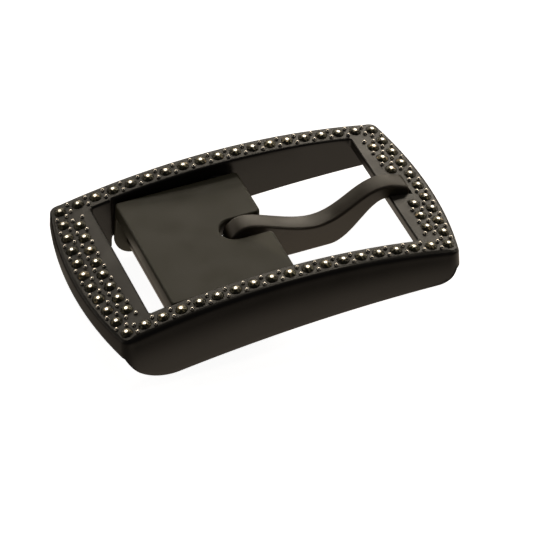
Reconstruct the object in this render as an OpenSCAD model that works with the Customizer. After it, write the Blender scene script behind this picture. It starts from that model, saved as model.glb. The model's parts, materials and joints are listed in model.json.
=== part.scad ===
// Centre-bar dress buckle, set with round stones.
// Millimetres. +X runs along the belt, +Y across it, +Z out of the decorated face.
// Origin: middle of the outline, on the plane that the housing's cheeks stand on.

/* [Belt] */
// Width of the belt strap that the buckle takes
strap_w = 30; // [29.5:0.1:30.5]
// Thickest strap that goes into the housing
strap_t = 4; // [3.5:0.1:4]

/* [Frame] */
// Length of the face, middle of one end to middle of the other
frame_l = 76.2; // [74:0.2:80]
// How far the end walls lean out, for each millimetre down from the face
end_flare = 0.08; // [0.04:0.01:0.1]
// Overall width over the side skirts
frame_w = 45.7; // [45:0.1:47]
// Width of the flat stone band's outer edge, across the face
face_w = 41.7; // [41:0.1:42]
// How far each end bows out between its corners
end_bow = 2.7; // [1.5:0.1:3.5]
// Height of the arched face's corners above the standing plane
corner_h = 12.4; // [12:0.1:13]
// Rise of the arched face between its corners
arch_rise = 3.86; // [3:0.02:4.5]
// Length of the opening along the belt
opening_l = 56.6; // [56:0.1:58]

/* [Stones] */
// Diameter of each round stone
stone_d = 2.4; // [2:0.1:2.6]
// Distance between the corner stones along the belt
stone_span_x = 68; // [67:0.1:69]
// Distance between the corner stones across the belt
stone_span_y = 38; // [37.6:0.1:38.4]
// Stones along one long rail, corner stones included
rail_stones = 19; // [17:1:19]
// Spaces between stones along one end, corner to corner
end_spaces = 10; // [8:1:10]
// Diameter of the raised metal beads beside the stones
grain_d = 0.9; // [0.7:0.05:1]

/* [Housing] */
// Distance from the pivot pin's axis to the housing's strap end
housing_reach = 21.6; // [21:0.1:22.5]
// Distance from the pivot pin's axis to the housing's tongue end
housing_nose = 4.8; // [4.5:0.1:5.2]
// Thickness of the housing's top plate at the strap end
plate_t = 3.6; // [3:0.1:4]
// Thickness of each side cheek
cheek_t = 1; // [0.8:0.1:1.1]
// Width of the slot that the tongue works in
slot_w = 6; // [5:0.1:6.4]

/* [Tongue] */
// Width of the tongue
tongue_w = 4.25; // [3.5:0.05:4.6]
// Radius of the tongue's eye
eye_r = 4; // [3.6:0.1:4]

/* [Pins] */
// Diameter of the pivot pin across the frame
pin_d = 2.5; // [2:0.1:2.6]
// Diameter of the clamp jaw's pin
jaw_pin_d = 2; // [1.5:0.1:2]
// Radial clearance of a turning fit
running = 0.05; // [0.02:0.01:0.1]

/* [Hidden] */

body_colour = "#2b2825";
housing_colour = "#3b3932";
steel_colour = "#8d8b86";
stone_colour = "#55504a";
nylon_colour = "#1d1d1f";

eps = 0.01;
fine = 360;
face_drop = 0.25;
arch_r = (pow(stone_span_x / 2, 2) + pow(arch_rise, 2)) / (2 * arch_rise);
arch_z = corner_h + arch_rise - arch_r;
face_r = arch_r - face_drop;
face_edge_r = 0.9;
wall_r = 26;
wall_tilt = 17;
end_r = (pow(face_w / 2, 2) + pow(end_bow, 2)) / (2 * end_bow);
plan_corner_r = 3;

strap_play = 0.2;
rail_gap = 0.3;
cheek_in = strap_w / 2 + strap_play;
cheek_out = cheek_in + cheek_t;
opening_w = 2 * (cheek_out + rail_gap);

pivot_x = -1.9;
pivot_z = corner_h - 1.7;
plate_top = corner_h + 1;
ear_r = 4.4;
ear_x = -19.5;
ear_z = ear_r;
jaw_z = ear_z - 1;
boss_r = 2.6;

// Height of the arched face above the standing plane, at a place along the belt
function arch_h(x) = arch_z + sqrt(arch_r * arch_r - x * x);
// Lean of the face's normal, at a place along the belt
function lean(x) = asin(x / arch_r);
// Points along an arc about a centre
function arc(c, r, from, to, n) =
    [for (i = [0 : n]) let (a = from + (to - from) * i / n) [c[0] + r * cos(a), c[1] + r * sin(a)]];
// Points along a cubic curve between two ends, with two handles
function curve(a, b, c, d, n) =
    [for (i = [1 : n]) let (t = i / n, s = 1 - t) s*s*s*a + 3*s*s*t*b + 3*s*t*t*c + t*t*t*d];

// ---- frame ----

// Half of the band's section: radius from the arch's centre, then place across the belt
function half_section(side) =
    let (turn_y = frame_w / 2 + (wall_r - face_edge_r) * cos(wall_tilt) - wall_r,
         wall_c = [turn_y + (face_edge_r - wall_r) * cos(wall_tilt),
                   (face_edge_r - wall_r) * sin(wall_tilt) - face_edge_r])
    [for (p = concat(arc([turn_y, -face_edge_r], face_edge_r, 90, wall_tilt, 6),
                     arc(wall_c, wall_r, wall_tilt, 0, 6),
                     [[frame_w / 2, -30]]))
        [face_r + p[1], side * p[0]]];

// The solid arched band: its section turned about the arch's axis
module arched_band() {
    swing = 18;
    rear = half_section(1);
    front = half_section(-1);
    last = len(rear) - 1;
    outline = concat(rear, [for (i = [last : -1 : 0]) front[i]]);
    translate([0, 0, arch_z]) rotate([-90, 0, 0]) rotate([0, 0, -90 - swing])
        rotate_extrude(angle = 2 * swing, $fn = 720) polygon(outline);
}

// Outline seen from above: straight sides, bowed ends, rounded corners
module plan_outline(length) {
    centre_x = length / 2 - end_r;
    corner_y = frame_w / 2 - plan_corner_r;
    corner_x = centre_x + sqrt(pow(end_r - plan_corner_r, 2) - corner_y * corner_y);
    turn = atan2(corner_y, corner_x - centre_x);
    straight_y = end_r * sin(turn);
    polygon(concat(arc([corner_x, corner_y], plan_corner_r, 90, turn, 8),
                   arc([corner_x, -corner_y], plan_corner_r, -turn, -90, 8),
                   arc([-corner_x, -corner_y], plan_corner_r, 270, 180 + turn, 8),
                   arc([-corner_x, corner_y], plan_corner_r, 180 - turn, 90, 8)));
    intersection() {
        translate([centre_x, 0]) circle(r = end_r, $fn = fine);
        translate([-centre_x, 0]) circle(r = end_r, $fn = fine);
        square([2 * frame_l, 2 * straight_y], center = true);
    }
}

// Everything between the end walls, which lean out as they go down: two upright cones that meet
module between_end_walls() {
    top = corner_h + arch_rise;
    face_end = corner_h - face_drop;
    intersection_for (side = [-1, 1])
        translate([side * (frame_l / 2 - end_r), 0, 0])
            cylinder(r1 = end_r + end_flare * face_end, r2 = end_r + end_flare * (face_end - top),
                     h = top, $fn = fine);
}

// Outline seen from the side, below the face: skirts with rounded lower corners,
// deeper at the strap end, and shallower end walls
module side_outline() {
    skirt_r = 322;
    skirt_c = [23.5, corner_h - 6.8 - skirt_r];
    left_r = 10.5;
    left_x = -26;
    left_z = skirt_c[1] + sqrt(pow(skirt_r + left_r, 2) - pow(left_x - skirt_c[0], 2));
    right_r = 4.2;
    right_x = 30.6;
    right_z = skirt_c[1] + sqrt(pow(skirt_r + right_r, 2) - pow(right_x - skirt_c[0], 2));
    left_end_z = corner_h - 4.75;
    right_end_z = corner_h - 4.2;
    left_turn = 180 + asin((left_z - left_end_z) / left_r);
    right_turn = -asin((right_z - right_end_z) / right_r);
    difference() {
        polygon(concat([[-frame_l, 2 * corner_h], [-frame_l, left_end_z]],
                       arc([left_x, left_z], left_r, left_turn, 280, 8),
                       arc([right_x, right_z], right_r, 262, 360 + right_turn, 8),
                       [[frame_l, right_end_z], [frame_l, 2 * corner_h]]));
        translate(skirt_c) circle(r = skirt_r, $fn = 1440);
    }
}

// A solid drawn from the side and run across the belt
module across(width) {
    rotate([90, 0, 0]) linear_extrude(width, center = true) children();
}

// Everything taken out between the rails: the opening, and the way under both end bars
module opening() {
    half = opening_l / 2;
    pad_x = -24.2;
    relief = 0.3;
    corner = 0.5;
    deep = 3 * corner_h;
    translate([0, 0, -corner_h]) linear_extrude(deep) {
        square([opening_l - 2 * corner, opening_w], center = true);
        square([opening_l, opening_w - 2 * corner], center = true);
        for (sx = [-1, 1], sy = [-1, 1])
            translate([sx * (half - corner), sy * (opening_w / 2 - corner)])
                circle(r = corner, $fn = 48);
        translate([pad_x, -opening_w / 2 - relief])
            square([half - corner - pad_x, opening_w + 2 * relief]);
    }
    across(opening_w) {
        under_bar(-1, 0.4, 1.2, 4.9);
        under_bar(1, 0.8, 1.4, 4.6);
    }
}

// Strap's way under one end bar, from the side: depths below the face's corners at the bar's
// inner lip, just behind it, and past the end wall
module under_bar(side, lip, neck, foot) {
    half = opening_l / 2;
    polygon([[side * (half - 1), -corner_h], [side * (half - 1), corner_h - lip],
             [side * (half + 1), corner_h - neck], [side * (frame_l / 2 + 1), corner_h - foot],
             [side * (frame_l / 2 + 1), -corner_h]]);
}

// Ledge along the inside of each rail's underside
module rail_ledge() {
    ledge_x = [-24.2, 30.2];
    ledge_t = 3;
    for (side = [-1, 1])
        translate([ledge_x[0], side * (opening_w / 2 + 1.2) - ledge_t / 2, -corner_h])
            cube([ledge_x[1] - ledge_x[0], ledge_t, 2 * corner_h - 8.1]);
}

// ---- stones: their places ----

rail_pitch = stone_span_x / (rail_stones - 1);
end_pitch = stone_span_y / end_spaces;
row_bow = 1.9;
inner_row_x = 31.9;
inner_row_bow = 0.7;
inner_row_n = end_spaces - 2;

// Place along the belt of an end's outer row, and of its inner row, at a place across
function outer_x(y) = stone_span_x / 2 + row_bow * (1 - pow(2 * y / stone_span_y, 2));
function inner_x(y) = inner_row_x + inner_row_bow * (1 - pow(y / (3.5 * end_pitch), 2));

rail_places = [for (i = [1 : rail_stones - 2]) i * rail_pitch - stone_span_x / 2];
outer_places = [for (i = [1 : end_spaces - 1]) i * end_pitch - stone_span_y / 2];
inner_places = [for (i = [0 : inner_row_n - 1]) (i - (inner_row_n - 1) / 2) * end_pitch];
// The two middle stones of the right inner row give way to the tongue's seat
seat_places = [for (y = inner_places) if (abs(y) > end_pitch) y];

rail_grains = [for (i = [0.5 : 1 : rail_stones - 1.5]) i * rail_pitch - stone_span_x / 2];
outer_grains = [for (i = [0.5 : 1 : end_spaces - 0.5]) i * end_pitch - stone_span_y / 2];
inner_grains = [for (i = [0 : inner_row_n]) (i - inner_row_n / 2) * end_pitch];
grain_side = 1.03;

// Stands its children on the arched face, upright to it
module on_face(x, y) {
    translate([x, y, arch_h(x)]) rotate([0, lean(x), 0]) children();
}

// ---- stones: their shapes ----

crown_h = 0.5;
girdle_h = 0.12;
pavilion_h = 0.95;
seat_gap = 0.03;
girdle_z = -0.18;

module stone() {
    r = stone_d / 2;
    translate([0, 0, girdle_z]) cylinder(r1 = r, r2 = 0.55 * r, h = crown_h, $fn = 48);
    translate([0, 0, girdle_z - girdle_h]) cylinder(r = r, h = girdle_h, $fn = 48);
    translate([0, 0, girdle_z - girdle_h - pavilion_h])
        cylinder(r1 = 0.12, r2 = r, h = pavilion_h, $fn = 48);
}

module stone_seat() {
    top = girdle_z - girdle_h - pavilion_h - 0.1;
    translate([0, 0, top]) cylinder(r = stone_d / 2 + seat_gap, h = 3, $fn = 48);
}

// A round-topped bead on a short stem that roots in the face
module grain() {
    r = grain_d / 2;
    translate([0, 0, -face_drop]) rotate_extrude($fn = 48) {
        intersection() {
            translate([0, 0.05]) circle(r = r, $fn = 48);
            translate([0, 0.05]) square(r);
        }
        translate([0, -0.4]) square([r, 0.45]);
    }
}

module all_seats() {
    for (sx = [-1, 1], sy = [-1, 1])
        on_face(sx * stone_span_x / 2, sy * stone_span_y / 2) stone_seat();
    for (side = [-1, 1], x = rail_places) on_face(x, side * stone_span_y / 2) stone_seat();
    for (side = [-1, 1], y = outer_places) on_face(side * outer_x(y), y) stone_seat();
    for (y = inner_places) on_face(-inner_x(y), y) stone_seat();
    for (y = seat_places) on_face(inner_x(y), y) stone_seat();
}

// Beads on both sides of every row, half way between its stones
module all_grains() {
    for (side = [-1, 1], x = rail_grains, off = [-grain_side, grain_side])
        on_face(x, side * stone_span_y / 2 + off) grain();
    for (side = [-1, 1], y = outer_grains, off = [-grain_side, grain_side])
        on_face(side * (outer_x(y) + off), y) grain();
    for (y = inner_grains, off = [-grain_side, grain_side]) {
        on_face(-(inner_x(y) + off), y) grain();
        if (abs(y) > 1.5 * end_pitch) on_face(inner_x(y) + off, y) grain();
    }
}

module frame() color(body_colour) {
    difference() {
        union() {
            intersection() {
                arched_band();
                translate([0, 0, -corner_h]) linear_extrude(4 * corner_h)
                    plan_outline(frame_l + 2 * end_flare * corner_h);
                between_end_walls();
                across(2 * frame_w) side_outline();
            }
            all_grains();
        }
        opening();
        rail_ledge();
        all_seats();
        tongue_seat();
        pivot_bore();
    }
}

// Notch in the right bar that the tongue's tip rests in
module tongue_seat() {
    side_gap = 0.25;
    open_x = opening_l / 2 - 2.3;
    heel_x = opening_l / 2 - 0.5;
    end_x = opening_l / 2 + 5.3;
    above = corner_h + 4;
    across(tongue_w + 2 * side_gap)
        polygon([[open_x, corner_h], [heel_x, corner_h - 0.05], [end_x - 0.3, corner_h - 1.2],
                 [end_x, corner_h - 0.6], [end_x, above], [open_x, above]]);
}

// Blind hole in the front rail, through hole in the rear rail
module pivot_bore() {
    front_end = -(opening_w / 2 + 3.8);
    translate([pivot_x, front_end, pivot_z]) rotate([-90, 0, 0])
        cylinder(d = pin_d + 2 * eps, h = frame_w, $fn = 72);
}

module pivot_pin() color(steel_colour) {
    front_end = -(opening_w / 2 + 3.6);
    rear_end = frame_w / 2 - 0.6;
    translate([pivot_x, front_end, pivot_z]) rotate([-90, 0, 0])
        cylinder(d = pin_d, h = rear_end - front_end, $fn = 72);
}

// ---- strap housing ----

module strap_housing() color(housing_colour) {
    left = pivot_x - housing_reach;
    right = pivot_x + housing_nose;
    difference() {
        union() {
            housing_plate(left, right);
            across(2 * cheek_out) translate([pivot_x, pivot_z]) circle(r = boss_r, $fn = 72);
            for (side = [-1, 1]) translate([0, side * (cheek_out - cheek_t / 2), 0]) cheek(left);
        }
        tongue_slot();
        translate([pivot_x, 0, pivot_z]) rotate([90, 0, 0])
            cylinder(d = pin_d + 2 * running, h = 2 * frame_w, center = true, $fn = 72);
        translate([ear_x, 0, jaw_z]) rotate([90, 0, 0])
            cylinder(d = jaw_pin_d + 2 * eps, h = 2 * frame_w, center = true, $fn = 72);
    }
}

// Cast top plate: a thick lip at the strap end with a middle tab, ribs below that grip the strap
module housing_plate(left, right) {
    tab_w = 8;
    tab_drop = 0.35;
    edge_r = 0.5;
    under = plate_top - plate_t;
    across(2 * cheek_out)
        polygon(concat(arc([left + edge_r, plate_top - edge_r], edge_r, 180, 90, 4),
                       arc([right - edge_r, plate_top - edge_r], edge_r, 90, 0, 4),
                       [[right, under + 1], [right - 1, under], [left, under]]));
    across(tab_w) translate([left, under - tab_drop]) square([3, 1]);
}

module cheek(left) {
    across(cheek_t) {
        translate([ear_x, ear_z]) circle(r = ear_r, $fn = 96);
        translate([pivot_x, pivot_z]) circle(r = boss_r, $fn = 72);
        polygon([[left, plate_top - 1], [ear_x - ear_r, ear_z], [ear_x, ear_z - ear_r],
                 [-13, ear_z - ear_r], [pivot_x - 1, pivot_z - 2.5], [pivot_x, plate_top - 1]]);
    }
}

module tongue_slot() {
    slot_end = pivot_x - 5.1;
    translate([0, 0, pivot_z - 8]) linear_extrude(16) {
        translate([slot_end + slot_w / 2, 0]) circle(d = slot_w, $fn = 72);
        translate([slot_end + slot_w / 2, -slot_w / 2]) square([20, slot_w]);
    }
}

module thrust_washers() color(nylon_colour) {
    t = 0.4;
    for (side = [-1, 1])
        translate([pivot_x, side * (cheek_out + 0.1 + t / 2), pivot_z]) rotate([90, 0, 0])
            difference() {
                cylinder(r = 2.5, h = t, center = true, $fn = 72);
                cylinder(d = pin_d + 2 * running, h = 2 * t, center = true, $fn = 72);
            }
}

// ---- tongue ----

// The tongue from the side: eye, dip, hump and tip above; heel, deep belly and eye below
function tongue_outline() =
    let (z = corner_h,
         eye = [pivot_x, pivot_z],
         eye_top = eye + eye_r * [cos(80), sin(80)],
         eye_low = eye + eye_r * [cos(250), sin(250)],
         dip = [13.1, z - 2.4],
         hump = [27.3, z + 3.2],
         tip_top = [32.7, z + 1.7],
         tip_low = [33, z - 0.95],
         heel = [28.2, z - 0.1],
         belly_end = [15.6, z - 8.3],
         belly_start = [3.5, z - 8.3])
    concat(arc(eye, eye_r, 250, 80, 24),
           curve(eye_top, eye_top + [3.6, -0.64], dip - [4.4, 0], dip, 10),
           curve(dip, dip + [6, 0], hump - [5.4, 0.3], hump, 12),
           curve(hump, hump + [2.2, 0.1], tip_top + [-1.8, 0.7], tip_top, 4),
           curve(tip_top, tip_top + [0.5, -0.2], tip_low + [0.3, 0.5], tip_low, 3),
           curve(tip_low, tip_low + [-1.5, 0.3], heel + [1.6, -0.3], heel, 3),
           curve(heel, heel + [-4, 0.7], belly_end + [5.2, -0.2], belly_end, 12),
           [belly_start],
           curve(belly_start, belly_start - [2, 0], eye_low + [2, -0.7],
                 eye_low + [0.1, -0.03], 4));

module tongue() color(body_colour) {
    difference() {
        across(tongue_w) polygon(tongue_outline());
        translate([pivot_x, 0, pivot_z]) rotate([90, 0, 0])
            cylinder(d = pin_d + 2 * running, h = 2 * tongue_w, center = true, $fn = 72);
    }
}

// ---- clamp jaw ----

module clamp_jaw() color(steel_colour) {
    half = cheek_in - 0.3;
    knuckle_r = 1.9;
    leaf_t = 1.2;
    leaf_end = -7.4;
    strap_under = plate_top - plate_t - strap_t;
    leaf_top = strap_under - 0.5;
    difference() {
        union() {
            across(2 * half) {
                translate([ear_x, jaw_z]) circle(r = knuckle_r, $fn = 72);
                polygon([[ear_x, jaw_z + 0.4], [ear_x + 3.4, leaf_top], [leaf_end, leaf_top],
                         [leaf_end, leaf_top - leaf_t], [ear_x + 4, leaf_top - leaf_t],
                         [ear_x + 1, jaw_z - 1.4]]);
                translate([leaf_end, leaf_top - leaf_t / 2]) circle(d = leaf_t, $fn = 48);
            }
            jaw_teeth(half, strap_under);
        }
        translate([ear_x, 0, jaw_z]) rotate([90, 0, 0])
            cylinder(d = jaw_pin_d + 2 * running, h = 4 * half, center = true, $fn = 72);
    }
}

// A row of pointed teeth on the knuckle, leaning with the strap's pull
module jaw_teeth(half, strap_under) {
    count = 10;
    pitch = 2 * half / count;
    bite = 0.5;
    tip_z = strap_under + bite;
    base_z = jaw_z + 1.2;
    tooth_t = 1.1;
    for (i = [0 : count - 1])
        translate([ear_x + 0.9, -half + (i + 0.5) * pitch, 0]) rotate([90, 0, 90])
            linear_extrude(tooth_t, center = true)
                polygon([[-pitch / 2 + 0.2, base_z], [-pitch / 2 + 0.2, base_z + 0.6],
                         [0, tip_z], [pitch / 2 - 0.2, base_z + 0.6], [pitch / 2 - 0.2, base_z]]);
}

module jaw_pin() color(steel_colour) {
    translate([ear_x, 0, jaw_z]) rotate([90, 0, 0])
        cylinder(d = jaw_pin_d, h = 2 * cheek_out - 0.2, center = true, $fn = 72);
}

// ---- stone groups ----

module corner_stones() color(stone_colour)
    for (sx = [-1, 1], sy = [-1, 1])
        on_face(sx * stone_span_x / 2, sy * stone_span_y / 2) stone();

module rail_stone_row(side) {
    for (x = rail_places) on_face(x, side * stone_span_y / 2) stone();
}

module outer_stone_row(side) {
    for (y = outer_places) on_face(side * outer_x(y), y) stone();
}

module front_rail_stones() color(stone_colour) rail_stone_row(-1);
module rear_rail_stones() color(stone_colour) rail_stone_row(1);
module left_outer_stones() color(stone_colour) outer_stone_row(-1);
module right_outer_stones() color(stone_colour) outer_stone_row(1);

module left_inner_stones() color(stone_colour)
    for (y = inner_places) on_face(-inner_x(y), y) stone();

module right_inner_stones() color(stone_colour)
    for (y = seat_places) on_face(inner_x(y), y) stone();

frame();
pivot_pin();
strap_housing();
thrust_washers();
tongue();
clamp_jaw();
jaw_pin();
corner_stones();
front_rail_stones();
rear_rail_stones();
left_outer_stones();
left_inner_stones();
right_outer_stones();
right_inner_stones();
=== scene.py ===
"""Looks of a centre-bar dress buckle set with smoked crystals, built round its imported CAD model.

Lengths inside the classes are millimetres in the CAD's own frame: +X along the belt, +Y across it,
+Z out of the decorated face. A piece's vertices turn to metres only when its mesh is made.
"""

import json
import logging
import math
from dataclasses import dataclass, field
from enum import Enum
from typing import Callable, Sequence

import bmesh
import bpy
import numpy as np
from mathutils import Matrix, Vector


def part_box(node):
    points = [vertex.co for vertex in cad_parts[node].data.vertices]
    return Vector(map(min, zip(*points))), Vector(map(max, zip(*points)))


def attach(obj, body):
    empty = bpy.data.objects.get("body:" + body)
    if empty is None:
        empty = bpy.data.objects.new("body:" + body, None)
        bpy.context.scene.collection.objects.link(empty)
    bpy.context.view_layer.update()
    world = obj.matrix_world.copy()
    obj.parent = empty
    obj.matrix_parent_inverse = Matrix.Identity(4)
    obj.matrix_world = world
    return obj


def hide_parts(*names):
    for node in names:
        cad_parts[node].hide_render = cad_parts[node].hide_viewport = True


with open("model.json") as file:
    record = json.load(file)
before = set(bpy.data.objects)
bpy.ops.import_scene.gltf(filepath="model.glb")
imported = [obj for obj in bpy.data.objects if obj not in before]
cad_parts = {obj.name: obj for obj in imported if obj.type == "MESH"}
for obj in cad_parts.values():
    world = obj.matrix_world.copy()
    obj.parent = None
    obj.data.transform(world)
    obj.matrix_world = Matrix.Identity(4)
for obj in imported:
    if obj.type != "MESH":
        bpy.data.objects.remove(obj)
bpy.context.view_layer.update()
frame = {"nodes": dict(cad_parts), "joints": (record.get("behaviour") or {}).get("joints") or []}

MM = 0.001
LOG = logging.getLogger("buckle")


class Body(Enum):
    """The rigid bodies that pieces ride on."""

    FRAME = "frame"
    HOUSING = "housing"
    TONGUE = "tongue"
    JAW = "jaw"


class StoneRow(Enum):
    """The groups that the stones are set in, by the name of their CAD node."""

    CORNERS = "corner_stones"
    FRONT_RAIL = "front_rail_stones"
    REAR_RAIL = "rear_rail_stones"
    LEFT_OUTER = "left_outer_stones"
    LEFT_INNER = "left_inner_stones"
    RIGHT_OUTER = "right_outer_stones"
    RIGHT_INNER = "right_inner_stones"


# ---------------------------------------------------------------- mesh work


def ease(x: np.ndarray) -> np.ndarray:
    """Smooth step: 3x^2 - 2x^3, with x held between 0 and 1.

    Args:
        x: Any values.

    Returns:
        Values from 0 to 1 with level ends.
    """
    t = np.clip(x, 0.0, 1.0)
    return t * t * (3.0 - 2.0 * t)


def arc(centre: Sequence[float], radius: float, start: float, end: float, steps: int) -> np.ndarray:
    """Points along a circular arc: centre plus radius times (cos, sin) of an even run of angles.

    Args:
        centre: Centre in the plane.
        radius: Radius in mm.
        start: First angle in degrees.
        end: Last angle in degrees.
        steps: Spaces between the points.

    Returns:
        Array of steps + 1 points.
    """
    turn = np.radians(np.linspace(start, end, steps + 1))
    return np.asarray(centre) + radius * np.stack([np.cos(turn), np.sin(turn)], axis=-1)


def bezier(
    a: Sequence[float], b: Sequence[float], c: Sequence[float], d: Sequence[float], steps: int
) -> np.ndarray:
    """Points along a cubic curve, first point left out: the Bernstein sum of two ends and two handles.

    Args:
        a: Start.
        b: Handle of the start.
        c: Handle of the end.
        d: End.
        steps: Points to return.

    Returns:
        Array of steps points, the last of which is d.
    """
    t = (np.arange(1, steps + 1) / steps)[:, None]
    s = 1.0 - t
    start, rise, fall, end = np.asarray(a), np.asarray(b), np.asarray(c), np.asarray(d)
    return s**3 * start + 3 * s**2 * t * rise + 3 * s * t**2 * fall + t**3 * end


def grid_quads(rows: int, columns: int, wrap_rows: bool, wrap_columns: bool) -> np.ndarray:
    """Corner numbers of the quads of a grid whose points are numbered row by row.

    Args:
        rows: Points in the first direction.
        columns: Points in the second direction.
        wrap_rows: Whether the last row joins the first.
        wrap_columns: Whether the last column joins the first.

    Returns:
        Array of quads, four point numbers each.
    """
    i = np.arange(rows if wrap_rows else rows - 1)[:, None]
    j = np.arange(columns if wrap_columns else columns - 1)[None, :]
    down, right = (i + 1) % rows, (j + 1) % columns
    near, far = i * columns, down * columns
    return np.stack([near + j, far + j, far + right, near + right], axis=-1).reshape(-1, 4)


def make_piece(
    name: str,
    points: np.ndarray,
    faces: Sequence[Sequence[int]],
    crease: float = 35.0,
    weld: float = 1e-4,
) -> bpy.types.Object:
    """Turns points and faces into a welded, outward-facing, smooth-shaded piece.

    Args:
        name: Name of the piece.
        points: Vertices in mm.
        faces: Vertex numbers of each face.
        crease: Angle in degrees past which an edge stays sharp.
        weld: Distance in mm within which vertices become one.

    Returns:
        The new object, linked to the scene, at the origin.
    """
    mesh = bpy.data.meshes.new(name)
    places = np.asarray(points, float).reshape(-1, 3) * MM
    mesh.from_pydata(places.tolist(), [], [list(map(int, f)) for f in faces])
    mesh.validate()
    work = bmesh.new()
    work.from_mesh(mesh)
    bmesh.ops.remove_doubles(work, verts=work.verts, dist=weld * MM)
    bmesh.ops.dissolve_degenerate(work, edges=work.edges, dist=0.2 * weld * MM)
    if work.calc_volume(signed=True) < 0:
        bmesh.ops.reverse_faces(work, faces=work.faces)
    work.to_mesh(mesh)
    work.free()
    mesh.polygons.foreach_set("use_smooth", np.ones(len(mesh.polygons), bool))
    mesh.set_sharp_from_angle(angle=math.radians(crease))
    piece = bpy.data.objects.new(name, mesh)
    bpy.context.scene.collection.objects.link(piece)
    return piece


def inset(outline: np.ndarray, distance: float) -> np.ndarray:
    """Moves each point of a closed outline inwards along the bisector of its two edges.

    The step is the distance times the mean of the two edges' inward normals, over that mean's squared
    length, which counts as 0.3 or more so that sharp points don't run away.

    Args:
        outline: Points in the plane, anticlockwise.
        distance: Distance between the old and new edges, in mm.

    Returns:
        The new points, in the same order.
    """
    ahead = np.roll(outline, -1, axis=0) - outline
    ahead /= np.linalg.norm(ahead, axis=1, keepdims=True)
    behind = np.roll(ahead, 1, axis=0)
    inwards = np.stack([-(ahead + behind)[:, 1], (ahead + behind)[:, 0]], axis=-1) / 2.0
    return outline + inwards * distance / np.maximum((inwards**2).sum(axis=1, keepdims=True), 0.3)


def rounded_prism(
    outline: np.ndarray, low: float, high: float, radius: float, steps: int = 4
) -> tuple[np.ndarray, list[list[int]]]:
    """A plate with a closed outline and quarter-round edges.

    Each ring is the outline, moved in by the radius times one minus the cosine of an angle from 0 to 90
    degrees, and away from the flat face by the radius times one minus its sine; a last ring just inside
    keeps the flat face's shading flat.

    Args:
        outline: Points in the plane, anticlockwise, in mm.
        low: Lower face's place on the third axis.
        high: Upper face's place on the third axis.
        radius: Radius of the edges.
        steps: Spaces along each quarter round.

    Returns:
        Points with the plane's two axes first, and faces.
    """
    turn = np.radians(np.linspace(0, 90, steps + 1))
    shifts = np.append(radius * (1 - np.cos(turn)), radius * 1.15 + 0.03)
    lifts = np.append(radius * (1 - np.sin(turn)), 0.0)
    count = len(outline)
    plans = [inset(outline, shift) for shift in shifts]
    feet = [np.column_stack([plan, np.full(count, low + lift)]) for plan, lift in zip(plans, lifts)]
    tops = [np.column_stack([plan, np.full(count, high - lift)]) for plan, lift in zip(plans, lifts)]
    rows = feet[::-1] + tops
    faces = grid_quads(len(rows), count, False, True).tolist()
    faces.append(list(range(count))[::-1])
    faces.append(list(range((len(rows) - 1) * count, len(rows) * count)))
    return np.concatenate(rows), faces


def across_belt(points: np.ndarray) -> np.ndarray:
    """Turns points drawn as (x, z, y) into (x, y, z)."""
    return points[:, [0, 2, 1]]


def joined(parts: Sequence[tuple[np.ndarray, Sequence[Sequence[int]]]]) -> tuple[np.ndarray, list[list[int]]]:
    """Puts several sets of points and faces into one, shifting the vertex numbers.

    Args:
        parts: Points and faces of each part.

    Returns:
        All points and all faces.
    """
    points, faces, start = [], [], 0
    for part_points, part_faces in parts:
        points.append(part_points)
        faces += [[int(v) + start for v in face] for face in part_faces]
        start += len(part_points)
    return np.concatenate(points), faces


def unite(piece: bpy.types.Object, others: Sequence[bpy.types.Object]) -> None:
    """Unites a piece with others and removes them.

    Args:
        piece: The piece that stays.
        others: The pieces that are used up.
    """
    for other in others:
        join = piece.modifiers.new("join", "BOOLEAN")
        join.solver = "EXACT"
        join.operation = "UNION"
        join.object = other
        shape = bpy.data.meshes.new_from_object(piece.evaluated_get(bpy.context.evaluated_depsgraph_get()))
        piece.modifiers.clear()
        piece.data = shape
        bpy.data.objects.remove(other)


def flat_planes(piece: bpy.types.Object, least_mm2: float = 0.6, crease: float = 40.0) -> None:
    """Joins a piece's coplanar faces and shades the large ones flat, so rounded edges don't bend them.

    Args:
        piece: The piece.
        least_mm2: Area from which a face counts as large.
        crease: Angle in degrees past which an edge stays sharp.
    """
    work = bmesh.new()
    work.from_mesh(piece.data)
    bmesh.ops.dissolve_limit(
        work, angle_limit=math.radians(0.5), use_dissolve_boundaries=False, verts=work.verts, edges=work.edges
    )
    work.to_mesh(piece.data)
    work.free()
    areas = np.empty(len(piece.data.polygons))
    piece.data.polygons.foreach_get("area", areas)
    piece.data.polygons.foreach_set("use_smooth", areas < least_mm2 * MM**2)
    piece.data.set_sharp_from_angle(angle=math.radians(crease))


# ---------------------------------------------------------------- materials


def colour(code: str) -> tuple[float, float, float, float]:
    """Turns an sRGB hex colour into linear light.

    Args:
        code: Six hex digits after a hash.

    Returns:
        Red, green, blue and an alpha of 1.
    """
    channels = [int(code[i : i + 2], 16) / 255 for i in (1, 3, 5)]
    linear = [c / 12.92 if c <= 0.04045 else ((c + 0.055) / 1.055) ** 2.4 for c in channels]
    return (*linear, 1.0)


def add_node(
    tree: bpy.types.NodeTree,
    kind: str,
    settings: dict | None = None,
    values: dict | None = None,
    links: dict | None = None,
) -> bpy.types.Node:
    """Adds a node to a tree.

    Args:
        tree: The tree.
        kind: The node's class name.
        settings: Attribute name to value.
        values: Input socket, by name or number, to value.
        links: Input socket, by name or number, to the output socket that feeds it.

    Returns:
        The node.
    """
    made = tree.nodes.new(kind)
    for key, value in (settings or {}).items():
        setattr(made, key, value)
    for key, value in (values or {}).items():
        made.inputs[key].default_value = value
    for key, source in (links or {}).items():
        tree.links.new(source, made.inputs[key])
    return made


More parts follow.
